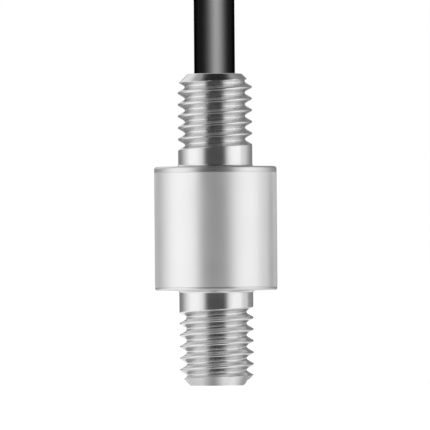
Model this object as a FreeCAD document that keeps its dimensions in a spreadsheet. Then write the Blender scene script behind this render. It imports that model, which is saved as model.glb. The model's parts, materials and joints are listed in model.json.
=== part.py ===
import FreeCAD, Part
import math
import os

import Sketcher

# Miniature inline load cell: a stainless body between two M8 studs, with the cable leaving through the
# hollow upper stud. Millimetres, +Z up along the load axis, origin at the middle of the lower stud's end.

doc = FreeCAD.newDocument("InlineLoadCell")

# Driving dimensions

SIZES = (
    ("stud_diameter", 8.0, "major diameter of the M8 studs"),
    ("stud_chamfer", 1.1, "chamfer on the free end of each stud"),
    ("stud_end_radius", 0.35, "rounding between that chamfer and the end face"),
    ("stud_root_radius", 0.25, "fillet between a stud and the body"),
    ("lower_stud_length", 10.2, "lower stud, from the body to its end"),
    ("upper_stud_length", 10.0, "upper stud, from the body to its end"),
    ("body_diameter", 13.2, "outside of the body"),
    ("body_length", 13.4, "body between its two shoulders"),
    ("body_edge_radius", 0.3, "rounding of the two outer body edges"),
    ("upper_rim_height", 0.65, "flange rim that shows above the sleeve"),
    ("lower_rim_height", 0.4, "flange rim that shows below the sleeve"),
    ("flange_thickness", 1.7, "each flange, rim and spigot together"),
    ("sleeve_wall", 0.5, "wall of the outer sleeve"),
    ("sleeve_clearance", 0.02, "radial room between sleeve and spigot"),
    ("neck_step", 0.6, "round neck below the upper flange, proud of the column"),
    ("neck_length", 2.6, "length of that neck"),
    ("column_diameter", 6.6, "gauge column as turned"),
    ("flat_depth", 0.6, "depth of the four flats milled on the column"),
    ("flat_inset", 0.8, "from each end of the column to its flats"),
    ("column_fillet", 0.4, "fillet at both ends of the column"),
    ("cable_diameter", 4.4, "outside of the cable's jacket"),
    ("potting_wall", 0.2, "potting between the jacket and the bore"),
    ("potting_recess", 0.2, "potting below the stud's end face"),
    ("bore_seat", 1.4, "cable seat below the upper shoulder"),
    ("conductor_diameter", 1.0, "insulated conductor of the cable"),
    ("conductor_gap", 0.05, "room between two conductors"),
    ("conductor_bend", 0.75, "bend of a conductor into its port"),
    ("port_clearance", 0.15, "radial room of a conductor in its port"),
    ("chamber_clearance", 0.1, "room past the conductors' bends"),
    ("braid_wall", 0.2, "thickness of the braided shield"),
    ("board_thickness", 0.5, "terminal ring board"),
    ("board_clearance", 0.1, "radial room of the board at neck and sleeve"),
    ("pad_diameter", 0.7, "solder pad on the board"),
    ("pad_thickness", 0.06, "height of a pad on the board"),
    ("solder_height", 0.34, "height of a solder joint on its pad"),
    ("solder_tip", 0.3, "diameter of a solder joint at its wire"),
    ("gauge_width", 2.6, "strain gauge backing, across the column"),
    ("gauge_margin", 0.6, "flat of the column past each end of a gauge"),
    ("backing_thickness", 0.08, "strain gauge backing and its glue"),
    ("foil_thickness", 0.04, "measuring foil on the backing"),
    ("strand_width", 0.12, "one strand of the foil grid"),
    ("strand_pitch", 0.26, "from one strand to the next"),
    ("grid_margin", 0.5, "backing below the foil grid"),
    ("grid_gap", 0.9, "from the foil grid to its solder tabs"),
    ("grid_side", 0.1, "backing beside the loops of a transverse grid"),
    ("loop_width", 0.2, "end loop that joins two strands"),
    ("tab_size", 0.6, "solder tab of the foil, square"),
    ("tab_spacing", 1.6, "from one tab's middle to the other's"),
    ("tab_inset", 0.5, "tab's middle below the backing's upper edge"),
    ("wire_diameter", 0.25, "bridge wire"),
    ("wire_bend", 0.6, "bend of a bridge wire"),
    ("wire_standoff", 0.45, "bridge wire outside the board's inner edge"),
    ("resistor_length", 1.0, "trim resistor over its end caps"),
    ("resistor_width", 0.5, "trim resistor's width"),
    ("resistor_height", 0.35, "trim resistor's height"),
    ("cap_length", 0.2, "end cap of a trim resistor"),
    ("cap_proud", 0.03, "end cap proud of the ceramic"),
    ("hank_start", 25.0, "near end of the hank, from the load axis"),
    ("hank_straight", 38.0, "straight part of the hank's runs"),
    ("fold_radius", 13.2, "innermost turn at the hank's folds"),
    ("hank_lanes", 2, "turns side by side in the hank"),
    ("hank_layers", 4, "turns on top of each other in the hank"),
    ("hank_rounding", 2.0, "rounding of the hank's bundle"),
    ("tie_thickness", 0.8, "tie's band"),
    ("tie_width", 4.0, "tie's width along the bundle"),
    ("tie_inset", 7.0, "tie's middle from the start of its straight run"),
    ("tie_head_length", 5.4, "tie's locking head, across the bundle"),
    ("tie_head_side", 1.0, "locking head past each side of the band"),
    ("tie_head_height", 3.6, "locking head above the band"),
    ("tie_head_rounding", 0.7, "rounding of the locking head's upright edges"),
    ("tie_stub", 0.8, "cut end of the band above the locking head"),
    ("tail_length", 22.0, "free end of the cable past the hank's fold"),
    ("end_sleeve_wall", 0.4, "shrink sleeve on the free end"),
    ("end_sleeve_overlap", 5.0, "shrink sleeve over the jacket"),
    ("end_sleeve_reach", 7.0, "shrink sleeve past the jacket's end"),
    ("end_sleeve_room", 0.2, "room between shrink sleeve and tie, and round the leads"),
    ("lead_length", 15.0, "insulated part of a flying lead"),
    ("lead_tip_length", 4.0, "tinned end of a flying lead"),
    ("lead_tip_diameter", 0.5, "tinned strands of a flying lead"),
    ("lead_splay", 4.0, "angle at which the flying leads spread, in degrees"),
    ("shield_diameter", 0.6, "shield lead in its sleeving"),
)

# The cable's route from the stud's mouth to the hank, from the mouth's centre
LEAD_ROUTE = (
    (0.0, 0.0, 0.0),
    (0.0, 0.0, 20.5),
    (14.85, 0.0, 35.35),
    (35.85, 0.0, 35.35),
    (50.7, 0.0, 20.5),
    (50.7, 0.0, -2.9),
    (64.5, 1.2, -17.4),
)

FACES = 4
STRANDS = 6
DIAGONAL = 45.0
ARC_SHARE = 0.45
NEAR = 1e-5

sheet = doc.addObject("Spreadsheet::Sheet", "Sizes")
for row, (alias, size, note) in enumerate(SIZES, start=1):
    sheet.set(f"A{row}", note)
    sheet.set(f"B{row}", str(size))
    sheet.setAlias(f"B{row}", alias)
doc.recompute()


def named(text):
    """An expression on the sheet: each word of the text that is a size gets the sheet's name."""
    words = text.split()
    aliases = {alias for alias, _, _ in SIZES}
    return " ".join(f"Sizes.{word}" if word in aliases else word for word in words)


def value(expression):
    """The number that an expression gives with the sheet's present sizes."""
    return float(sheet.evalExpression(expression))


# Heights along the load axis
LOWER_SHOULDER = named("lower_stud_length")
UPPER_SHOULDER = named("( lower_stud_length + body_length )")
MOUTH = named("( lower_stud_length + body_length + upper_stud_length )")
SLEEVE_FOOT = f"({LOWER_SHOULDER} + Sizes.lower_rim_height)"
SLEEVE_HEAD = f"({UPPER_SHOULDER} - Sizes.upper_rim_height)"
COLUMN_FOOT = f"({LOWER_SHOULDER} + Sizes.flange_thickness)"
BOARD_SEAT = f"({UPPER_SHOULDER} - Sizes.flange_thickness)"
COLUMN_HEAD = f"({BOARD_SEAT} - Sizes.neck_length)"
BORE_FLOOR = f"({UPPER_SHOULDER} - Sizes.bore_seat)"
BOARD_FACE = f"({BOARD_SEAT} - Sizes.board_thickness)"
SOLDER_TIP = f"({BOARD_FACE} - Sizes.pad_thickness - Sizes.solder_height)"
PORT_AXIS = f"({SOLDER_TIP} - Sizes.conductor_diameter / 2)"
PORT_RADIUS = named("( conductor_diameter / 2 + port_clearance )")
CHAMBER_FLOOR = f"({PORT_AXIS} - {PORT_RADIUS} - Sizes.chamber_clearance)"
FLAT_FOOT = f"({COLUMN_FOOT} + Sizes.flat_inset)"
FLAT_HEAD = f"({COLUMN_HEAD} - Sizes.flat_inset)"
GAUGE_FOOT = f"({FLAT_FOOT} + Sizes.gauge_margin)"
GAUGE_HEAD = f"({FLAT_HEAD} - Sizes.gauge_margin)"
TAB_HEIGHT = f"({GAUGE_HEAD} - Sizes.tab_inset)"
GRID_FOOT = f"({GAUGE_FOOT} + Sizes.grid_margin)"
GRID_HEAD = f"({TAB_HEIGHT} - Sizes.tab_size / 2 - Sizes.grid_gap)"

# Radii from the load axis
STUD = named("( stud_diameter / 2 )")
BODY = named("( body_diameter / 2 )")
SLEEVE_BORE = f"({BODY} - Sizes.sleeve_wall)"
SPIGOT = f"({SLEEVE_BORE} - Sizes.sleeve_clearance)"
COLUMN = named("( column_diameter / 2 )")
NECK = f"({COLUMN} + Sizes.neck_step)"
FLAT = f"({COLUMN} - Sizes.flat_depth)"
JACKET = named("( cable_diameter / 2 )")
BORE = f"({JACKET} + Sizes.potting_wall)"
CORE_OFFSET = named("( ( conductor_diameter + conductor_gap ) / sqrt(2) )")
CHAMBER = f"({CORE_OFFSET} + Sizes.conductor_bend + Sizes.chamber_clearance)"
BRAID_BORE = f"({CORE_OFFSET} + Sizes.conductor_diameter / 2 + Sizes.conductor_gap)"
BRAID = f"({BRAID_BORE} + Sizes.braid_wall)"
BOARD_BORE = f"({NECK} + Sizes.board_clearance)"
BOARD_RIM = f"({SLEEVE_BORE} - Sizes.board_clearance)"
BOARD_MIDDLE = f"(({BOARD_BORE} + {BOARD_RIM}) / 2)"
WIRE_RISE = f"({BOARD_BORE} + Sizes.wire_standoff)"
FOIL_BASE = f"({FLAT} + Sizes.backing_thickness)"
FOIL_FACE = f"({FOIL_BASE} + Sizes.foil_thickness)"

# The hank and the free end of the cable, lying beside the cell
INNER_WALL = f"(Sizes.fold_radius - {JACKET})"
OUTER_WALL = f"({INNER_WALL} + Sizes.hank_lanes * Sizes.cable_diameter)"
BUNDLE_WIDTH = named("( hank_lanes * cable_diameter )")
BUNDLE_HEIGHT = named("( hank_layers * cable_diameter )")
HANK_FOOT = named("tie_thickness")
HANK_HEAD = f"({HANK_FOOT} + {BUNDLE_HEIGHT})"
HANK_MIDDLE_Y = f"(({INNER_WALL} + {OUTER_WALL}) / 2)"
NEAR_FOLD = f"(Sizes.hank_start + {OUTER_WALL})"
FAR_FOLD = f"({NEAR_FOLD} + Sizes.hank_straight)"
END_SLEEVE = f"({JACKET} + Sizes.end_sleeve_wall)"
TAIL_WALL = f"({HANK_MIDDLE_Y} - {INNER_WALL} + Sizes.tie_thickness)"
TAIL_Y = f"({TAIL_WALL} + Sizes.end_sleeve_room + {END_SLEEVE})"
TAIL_Z = END_SLEEVE
JACKET_END = f"({NEAR_FOLD} + Sizes.tail_length)"


def new_body(label):
    body = doc.addObject("PartDesign::Body", label)
    body.Label = label
    body.AllowCompound = True
    return body


def new_sketch(body, role, lift=None, turn=None):
    """A sketch on one of the body's own planes, lifted off it or turned about its upright axis."""
    sketch = body.newObject("Sketcher::SketchObject", "Sketch")
    support = next(plane for plane in body.Origin.OriginFeatures if plane.Role == role)
    sketch.AttachmentSupport = [(support, "")]
    sketch.MapMode = "FlatFace"
    if turn is not None:
        upright = FreeCAD.Vector(0, 1, 0)
        sketch.AttachmentOffset = FreeCAD.Placement(FreeCAD.Vector(), FreeCAD.Rotation(upright, turn))
    if lift is not None:
        sketch.setExpression("AttachmentOffset.Base.z", lift)
    return sketch


def hold(sketch, geometry, end, place):
    """Tie a point of the sketch to two expressions, or to an axis where one is zero."""
    for kind, axis, expression in zip(("DistanceX", "DistanceY"), (-2, -1), place):
        if expression == "0":
            sketch.addConstraint(Sketcher.Constraint("PointOnObject", geometry, end, axis))
        else:
            length = value(expression)
            index = sketch.addConstraint(Sketcher.Constraint(kind, -1, 1, geometry, end, length))
            sketch.setExpression(f"Constraints[{index}]", expression)


def flat_point(place):
    return FreeCAD.Vector(value(place[0]), value(place[1]), 0)


def outline(sketch, corners):
    """A closed outline of straight edges, each corner held by two expressions."""
    first = sketch.GeometryCount
    count = len(corners)
    for here, there in zip(corners, corners[1:] + corners[:1]):
        sketch.addGeometry(Part.LineSegment(flat_point(here), flat_point(there)))
    for i, corner in enumerate(corners):
        after = first + (i + 1) % count
        sketch.addConstraint(Sketcher.Constraint("Coincident", first + i, 2, after, 1))
        hold(sketch, first + i, 1, corner)


def rectangle(sketch, left, bottom, right, top):
    outline(sketch, [(left, bottom), (right, bottom), (right, top), (left, top)])


def circle(sketch, centre, radius):
    upright = FreeCAD.Vector(0, 0, 1)
    index = sketch.addGeometry(Part.Circle(flat_point(centre), upright, value(radius)))
    hold(sketch, index, 3, centre)
    held = sketch.addConstraint(Sketcher.Constraint("Radius", index, value(radius)))
    sketch.setExpression(f"Constraints[{held}]", radius)


def bent_path(sketch, start, corner, end, radius):
    """Two straight runs at right angles, joined by an arc, as the spine of a pipe."""
    here, bend, there = (flat_point(place) for place in (start, corner, end))
    inward = (bend - here).normalize()
    outward = (there - bend).normalize()
    r = value(radius)
    lead_in = bend - inward * r
    lead_out = bend + outward * r
    middle = bend + (outward - inward) * r * (1 - math.sqrt(0.5))
    sketch.addGeometry(Part.LineSegment(here, lead_in))
    sketch.addGeometry(Part.Arc(lead_in, middle, lead_out))
    sketch.addGeometry(Part.LineSegment(lead_out, there))
    arc = sketch.Geometry[1]
    first, last = (1, 2) if arc.StartPoint.distanceToPoint(lead_in) < NEAR else (2, 1)
    sketch.addConstraint(Sketcher.Constraint("Tangent", 0, 2, 1, first))
    sketch.addConstraint(Sketcher.Constraint("Tangent", 1, last, 2, 1))
    held = sketch.addConstraint(Sketcher.Constraint("Radius", 1, r))
    sketch.setExpression(f"Constraints[{held}]", radius)
    hold(sketch, 0, 1, start)
    hold(sketch, 2, 2, end)
    direction = "Vertical" if abs(inward.y) > abs(inward.x) else "Horizontal"
    sketch.addConstraint(Sketcher.Constraint(direction, 0))


def slot(sketch, left, right, middle, radius):
    """A closed slot: two half circles about two centres, joined by straight edges."""
    r = value(radius)
    quarter_turn = math.pi / 2
    upright = FreeCAD.Vector(0, 0, 1)
    first = sketch.GeometryCount
    for index, (centre, start) in enumerate(((left, quarter_turn), (right, -quarter_turn))):
        round_end = Part.Circle(flat_point((centre, middle)), upright, r)
        sketch.addGeometry(Part.ArcOfCircle(round_end, start, start + math.pi))
        arc = first + index
        hold(sketch, arc, 3, (centre, middle))
        held = sketch.addConstraint(Sketcher.Constraint("Radius", arc, r))
        sketch.setExpression(f"Constraints[{held}]", radius)
        for end in (1, 2):
            sketch.addConstraint(Sketcher.Constraint("Vertical", arc, end, arc, 3))
    for side, (leaves, arrives) in ((-1, (2, 1)), (1, (1, 2))):
        level = value(middle) + side * r
        line = Part.LineSegment(
            FreeCAD.Vector(value(left), level, 0), FreeCAD.Vector(value(right), level, 0)
        )
        index = sketch.addGeometry(line)
        sketch.addConstraint(Sketcher.Constraint("Coincident", index, 1, first, leaves))
        sketch.addConstraint(Sketcher.Constraint("Coincident", index, 2, first + 1, arrives))


def pad(body, sketch, length, reverse=False, both_ways=False):
    feature = body.newObject("PartDesign::Pad", "Pad")
    feature.Profile = sketch
    feature.setExpression("Length", length)
    feature.Reversed = reverse
    feature.Midplane = both_ways
    doc.recompute()
    return feature


def pocket(body, sketch, length, reverse=False, both_ways=False):
    before = body.Shape.Volume
    feature = body.newObject("PartDesign::Pocket", "Pocket")
    feature.Profile = sketch
    feature.setExpression("Length", length)
    feature.Reversed = reverse
    feature.Midplane = both_ways
    doc.recompute()
    if feature.Shape.Volume > before - NEAR:
        raise RuntimeError(f"{body.Label}: {feature.Name} cuts nothing")
    return feature


def revolve(body, sketch):
    """Turn an outline about the sketch's own upright axis."""
    feature = body.newObject("PartDesign::Revolution", "Revolution")
    feature.Profile = sketch
    feature.ReferenceAxis = (sketch, ["V_Axis"])
    doc.recompute()
    return feature


def groove(body, sketch):
    """Bore or turn away an outline about the sketch's own upright axis."""
    before = body.Shape.Volume
    feature = body.newObject("PartDesign::Groove", "Groove")
    feature.Profile = sketch
    feature.ReferenceAxis = (sketch, ["V_Axis"])
    doc.recompute()
    if feature.Shape.Volume > before - NEAR:
        raise RuntimeError(f"{body.Label}: {feature.Name} cuts nothing")
    return feature


def pipe(body, section, path):
    feature = body.newObject("PartDesign::AdditivePipe", "Pipe")
    feature.Profile = section
    feature.Spine = (path, [f"Edge{i + 1}" for i in range(path.GeometryCount)])
    doc.recompute()
    return feature


def around_axis(body, originals, count):
    """Repeat features evenly round the body's upright axis."""
    feature = body.newObject("PartDesign::PolarPattern", "PolarPattern")
    feature.Originals = originals
    axis = next(line for line in body.Origin.OriginFeatures if line.Role == "Z_Axis")
    feature.Axis = (axis, [""])
    feature.Occurrences = count
    body.Tip = feature
    doc.recompute()
    return feature


def in_row(body, originals, sketch, axis, count, step):
    """Repeat features in a row along one axis of their sketch."""
    feature = body.newObject("PartDesign::LinearPattern", "LinearPattern")
    feature.Originals = originals
    feature.Direction = (sketch, [axis])
    feature.Mode = "Spacing"
    feature.setExpression("Offset", step)
    feature.Occurrences = count
    body.Tip = feature
    doc.recompute()
    return feature


def rings_at(shape, heights, radius):
    """The names of the round edges at these heights with this radius about the upright axis."""
    levels = [value(height) for height in heights]
    found = []
    for index, edge in enumerate(shape.Edges, start=1):
        curve = edge.Curve
        if not isinstance(curve, Part.Circle):
            continue
        level = any(abs(curve.Center.z - height) < NEAR for height in levels)
        if level and abs(curve.Radius - value(radius)) < NEAR:
            found.append(f"Edge{index}")
    return found


def round_edges(body, edges, radius):
    base = body.Tip
    feature = body.newObject("PartDesign::Fillet", "Fillet")
    feature.Base = (base, edges)
    feature.setExpression("Radius", radius)
    doc.recompute()
    return feature


def break_edges(body, edges, size):
    base = body.Tip
    feature = body.newObject("PartDesign::Chamfer", "Chamfer")
    feature.Base = (base, edges)
    feature.setExpression("Size", size)
    doc.recompute()
    return feature


def turned_tube(label, inside, outside, foot, head):
    """A plain tube on the load axis."""
    body = new_body(label)
    sketch = new_sketch(body, "XZ_Plane")
    rectangle(sketch, inside, foot, outside, head)
    revolve(body, sketch)
    return body


def load_element():
    """Both studs, both flanges, the neck and the gauge column, turned from one bar."""
    body = new_body("load_element")
    profile = new_sketch(body, "XZ_Plane")
    outline(
        profile,
        [
            ("0", "0"),
            (STUD, "0"),
            (STUD, LOWER_SHOULDER),
            (BODY, LOWER_SHOULDER),
            (BODY, SLEEVE_FOOT),
            (SPIGOT, SLEEVE_FOOT),
            (SPIGOT, COLUMN_FOOT),
            (COLUMN, COLUMN_FOOT),
            (COLUMN, COLUMN_HEAD),
            (NECK, COLUMN_HEAD),
            (NECK, BOARD_SEAT),
            (SPIGOT, BOARD_SEAT),
            (SPIGOT, SLEEVE_HEAD),
            (BODY, SLEEVE_HEAD),
            (BODY, UPPER_SHOULDER),
            (STUD, UPPER_SHOULDER),
            (STUD, MOUTH),
            ("0", MOUTH),
        ],
    )
    revolve(body, profile)

    bore = new_sketch(body, "XZ_Plane")
    outline(
        bore,
        [
            ("0", CHAMBER_FLOOR),
            (CHAMBER, CHAMBER_FLOOR),
            (CHAMBER, BORE_FLOOR),
            (BORE, BORE_FLOOR),
            (BORE, MOUTH),
            ("0", MOUTH),
        ],
    )
    groove(body, bore)

    port = new_sketch(body, "YZ_Plane", turn=DIAGONAL)
    circle(port, ("0", PORT_AXIS), PORT_RADIUS)
    drilled = pocket(body, port, NECK, reverse=True)
    around_axis(body, [drilled], FACES)

    flat = new_sketch(body, "XZ_Plane")
    rectangle(flat, FLAT, FLAT_FOOT, COLUMN, FLAT_HEAD)
    milled = pocket(body, flat, named("column_diameter"), both_ways=True)
    around_axis(body, [milled], FACES)

    stud_ends = rings_at(body.Shape, ("0", MOUTH), STUD)
    break_edges(body, stud_ends, named("stud_chamfer"))
    end_faces = rings_at(body.Shape, ("0", MOUTH), f"({STUD} - Sizes.stud_chamfer)")
    round_edges(body, end_faces, named("stud_end_radius"))
    roots = rings_at(body.Shape, (LOWER_SHOULDER, UPPER_SHOULDER), STUD)
    round_edges(body, roots, named("stud_root_radius"))
    rims = rings_at(body.Shape, (LOWER_SHOULDER, UPPER_SHOULDER), BODY)
    round_edges(body, rims, named("body_edge_radius"))
    column_ends = rings_at(body.Shape, (COLUMN_FOOT, COLUMN_HEAD), COLUMN)
    round_edges(body, column_ends, named("column_fillet"))
    return body


def strain_gauge(label, turn, along):
    """Foil gauge on a flat of the column, with its strands along the load axis or across it."""
    body = new_body(label)
    backing = new_sketch(body, "YZ_Plane", lift=FLAT)
    half_width = named("( gauge_width / 2 )")
    rectangle(backing, f"-{half_width}", GAUGE_FOOT, half_width, GAUGE_HEAD)
    pad(body, backing, named("backing_thickness"))
    grid_middle = f"(({GRID_FOOT} + {GRID_HEAD}) / 2)"
    grid_length = f"({GRID_HEAD} - {GRID_FOOT})" if along else named("( gauge_width - 2 * grid_side )")
    run_half = f"({grid_length} / 2 - Sizes.loop_width)"
    half_strand = named("( strand_width / 2 )")
    row_half = f"({STRANDS - 1} * Sizes.strand_pitch / 2)"
    foil = named("foil_thickness")

    def grid_piece(across, run, across_size, run_size, count, step):
        """A row of like rectangles of foil, given by the first one's middle and half sizes."""
        piece = new_sketch(body, "YZ_Plane", lift=FOIL_BASE)
        low_across = f"{across} - {across_size}"
        high_across = f"{across} + {across_size}"
        low_run = f"{run} - {run_size}"
        high_run = f"{run} + {run_size}"
        if along:
            rectangle(
                piece,
                low_across,
                f"{grid_middle} + {low_run}",
                high_across,
                f"{grid_middle} + {high_run}",
            )
        else:
            rectangle(
                piece,
                low_run,
                f"{grid_middle} + {low_across}",
                high_run,
                f"{grid_middle} + {high_across}",
            )
        first = pad(body, piece, foil)
        in_row(body, [first], piece, "H_Axis" if along else "V_Axis", count, step)

    pitch = named("strand_pitch")
    loop_half = named("( loop_width / 2 )")
    loop_span = f"(({pitch} + Sizes.strand_width) / 2)"
    loop_place = f"({run_half} + {loop_half})"
    loop_step = f"2 * {pitch}"
    lower_loop = f"-{row_half} + {pitch} / 2"
    upper_loop = f"-{row_half} + {pitch} * 3 / 2"
    lower_loops = STRANDS // 2
    grid_piece(f"-{row_half}", "0", half_strand, run_half, STRANDS, pitch)
    grid_piece(lower_loop, f"-{loop_place}", loop_span, loop_half, lower_loops, loop_step)
    grid_piece(upper_loop, loop_place, loop_span, loop_half, lower_loops - 1, loop_step)

    tab = new_sketch(body, "YZ_Plane", lift=FOIL_BASE)
    tab_half = named("( tab_size / 2 )")
    tab_middle = named("( tab_spacing / 2 )")
    rectangle(
        tab,
        f"-{tab_middle} - {tab_half}",
        f"{TAB_HEIGHT} - {tab_half}",
        f"-{tab_middle} + {tab_half}",
        f"{TAB_HEIGHT} + {tab_half}",
    )
    first_tab = pad(body, tab, foil)
    in_row(body, [first_tab], tab, "H_Axis", 2, named("tab_spacing"))
    body.Placement = FreeCAD.Placement(FreeCAD.Vector(), FreeCAD.Rotation(FreeCAD.Vector(0, 0, 1), turn))
    return body


def terminal_ring():
    """Ring board under the upper flange, with its pads facing the gauges."""
    body = new_body("terminal_ring")
    board = new_sketch(body, "XY_Plane", lift=BOARD_SEAT)
    circle(board, ("0", "0"), BOARD_BORE)
    circle(board, ("0", "0"), BOARD_RIM)
    pad(body, board, named("board_thickness"), reverse=True)
    pads = new_sketch(body, "XY_Plane", lift=BOARD_FACE)
    pad_radius = named("( pad_diameter / 2 )")
    diagonal_place = f"({BOARD_MIDDLE} * cos({DIAGONAL}))"
    wire_place = named("( tab_spacing / 2 )")
    circle(pads, (diagonal_place, diagonal_place), pad_radius)
    circle(pads, (WIRE_RISE, wire_place), pad_radius)
    circle(pads, (WIRE_RISE, f"-{wire_place}"), pad_radius)
    printed = pad(body, pads, named("pad_thickness"), reverse=True)
    around_axis(body, [printed], FACES)
    return body


def bridge_wires():
    """Two fine wires from the tabs of each gauge up to the ring board."""
    body = new_body("bridge_wires")
    radius = named("( wire_diameter / 2 )")
    runs = []
    for side in ("", "-"):
        place = f"{side}Sizes.tab_spacing / 2"
        away = "-" if side == "" else ""
        path = new_sketch(body, "XZ_Plane", lift=f"{away}Sizes.tab_spacing / 2")
        bent_path(
            path,
            (FOIL_FACE, TAB_HEIGHT),
            (WIRE_RISE, TAB_HEIGHT),
            (WIRE_RISE, SOLDER_TIP),
            named("wire_bend"),
        )
        section = new_sketch(body, "YZ_Plane", lift=FOIL_FACE)
        circle(section, (place, TAB_HEIGHT), radius)
        runs.append(pipe(body, section, path))
    around_axis(body, runs, FACES)
    return body


def solder_joints():
    """A small cone of solder on each pad of the ring board."""
    wire_place = "Sizes.tab_spacing / 2"
    diagonal_place = f"{BOARD_MIDDLE} * cos({DIAGONAL})"
    first_quarter = (
        (diagonal_place, diagonal_place),
        (WIRE_RISE, wire_place),
        (WIRE_RISE, f"-{wire_place}"),
    )
    cones = []
    for quarter in range(FACES):
        angle = 360.0 * quarter / FACES
        for x, y in first_quarter:
            cone = doc.addObject("Part::Cone", "Joint")
            cone.setExpression("Radius1", named("solder_tip / 2"))
            cone.setExpression("Radius2", named("pad_diameter / 2"))
            cone.setExpression("Height", named("solder_height"))
            cone.setExpression("Placement.Base.x", f"({x}) * cos({angle}) - ({y}) * sin({angle})")
            cone.setExpression("Placement.Base.y", f"({x}) * sin({angle}) + ({y}) * cos({angle})")
            cone.setExpression("Placement.Base.z", SOLDER_TIP)
            cones.append(cone)
    group = doc.addObject("Part::Compound", "solder_joints")
    group.Links = cones
    return group


def trim_resistor(label, turn):
    """Chip resistor on the ring board, with its length along the ring."""
    body = new_body(label)
    half_length = named("( resistor_length / 2 )")
    half_width = named("( resistor_width / 2 )")
    cap_edge = f"({half_length} - Sizes.cap_length)"
    cap_half = f"({half_width} + Sizes.cap_proud)"
    chip = new_sketch(body, "XY_Plane")
    rectangle(chip, f"-{half_width}", f"-{cap_edge}", half_width, cap_edge)
    pad(body, chip, named("resistor_height"), reverse=True)
    caps = new_sketch(body, "XY_Plane")
    rectangle(caps, f"-{cap_half}", cap_edge, cap_half, half_length)
    rectangle(caps, f"-{cap_half}", f"-{half_length}", cap_half, f"-{cap_edge}")
    pad(body, caps, named("resistor_height + cap_proud"), reverse=True)
    rotation = FreeCAD.Rotation(FreeCAD.Vector(0, 0, 1), turn)
    body.Placement = FreeCAD.Placement(FreeCAD.Vector(), rotation)
    body.setExpression("Placement.Base.x", f"{BOARD_MIDDLE} * cos({turn})")
    body.setExpression("Placement.Base.y", f"{BOARD_MIDDLE} * sin({turn})")
    body.setExpression("Placement.Base.z", BOARD_FACE)
    return body


def conductor(label, turn):
    """One core of the cable, down the bore, round into its port and under its pad."""
    body = new_body(label)
    path = new_sketch(body, "XZ_Plane")
    past_pad = f"({BOARD_MIDDLE} + Sizes.pad_diameter / 2)"
    bent_path(
        path,
        (CORE_OFFSET, MOUTH),
        (CORE_OFFSET, PORT_AXIS),
        (past_pad, PORT_AXIS),
        named("conductor_bend"),
    )
    section = new_sketch(body, "XY_Plane", lift=MOUTH)
    circle(section, (CORE_OFFSET, "0"), named("conductor_diameter / 2"))
    pipe(body, section, path)
    body.Placement = FreeCAD.Placement(FreeCAD.Vector(), FreeCAD.Rotation(FreeCAD.Vector(0, 0, 1), turn))
    return body


def cable_hank():
    """The put-away cable as one ring-shaped bundle, lying on its ties."""
    body = new_body("cable_hank")
    bundle = new_sketch(body, "XY_Plane", lift=HANK_FOOT)
    slot(bundle, NEAR_FOLD, FAR_FOLD, HANK_MIDDLE_Y, OUTER_WALL)
    slot(bundle, NEAR_FOLD, FAR_FOLD, HANK_MIDDLE_Y, INNER_WALL)
    pad(body, bundle, BUNDLE_HEIGHT)
    levels = (value(HANK_FOOT), value(HANK_HEAD))
    rims = [
        f"Edge{index}"
        for index, edge in enumerate(body.Shape.Edges, start=1)
        if all(min(abs(v.Z - level) for level in levels) < NEAR for v in edge.Vertexes)
        and abs(edge.BoundBox.ZLength) < NEAR
    ]
    round_edges(body, rims, named("hank_rounding"))
    return body


def straight_edges(shape, axis, foot):
    """The names of the straight edges along an axis that start at or above a height."""
    found = []
    for index, edge in enumerate(shape.Edges, start=1):
        box = edge.BoundBox
        lengths = {"X": box.XLength, "Y": box.YLength, "Z": box.ZLength}
        along_axis = all(length < NEAR for name, length in lengths.items() if name != axis)
        if along_axis and box.ZMin > foot - NEAR:
            found.append(f"Edge{index}")
    return found


def hank_tie(label, hank, middle_x, middle_y):
    """A band round one side of the hank's bundle, with its locking head and cut end on top."""
    block = new_body(f"{label}_block")
    around = new_sketch(block, "YZ_Plane", lift=middle_x)
    reach = f"({BUNDLE_WIDTH} / 2 + Sizes.tie_thickness)"
    band_top = f"{HANK_HEAD} + Sizes.tie_thickness"
    rectangle(around, f"{middle_y} - {reach}", "0", f"{middle_y} + {reach}", band_top)
    pad(block, around, named("tie_width"), both_ways=True)
    round_edges(block, straight_edges(block.Shape, "X", 0.0), named("hank_rounding + tie_thickness"))

    def raised(half_x, half_y, height):
        """A block on the band's top, in the middle of the bundle."""
        foot = new_sketch(block, "XY_Plane", lift=band_top)
        rectangle(
            foot,
            f"{middle_x} - {half_x}",
            f"{middle_y} - {half_y}",
            f"{middle_x} + {half_x}",
            f"{middle_y} + {half_y}",
        )
        pad(block, foot, height)

    half_band = named("( tie_width / 2 )")
    half_head = named("( tie_head_length / 2 )")
    raised(f"({half_band} + Sizes.tie_head_side)", half_head, named("tie_head_height"))
    round_edges(block, straight_edges(block.Shape, "Z", value(band_top)), named("tie_head_rounding"))
    raised(half_band, named("( tie_thickness / 2 )"), named("tie_head_height + tie_stub"))
    tie = doc.addObject("Part::Cut", label)
    tie.Base = block
    tie.Tool = hank
    return tie


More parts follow.
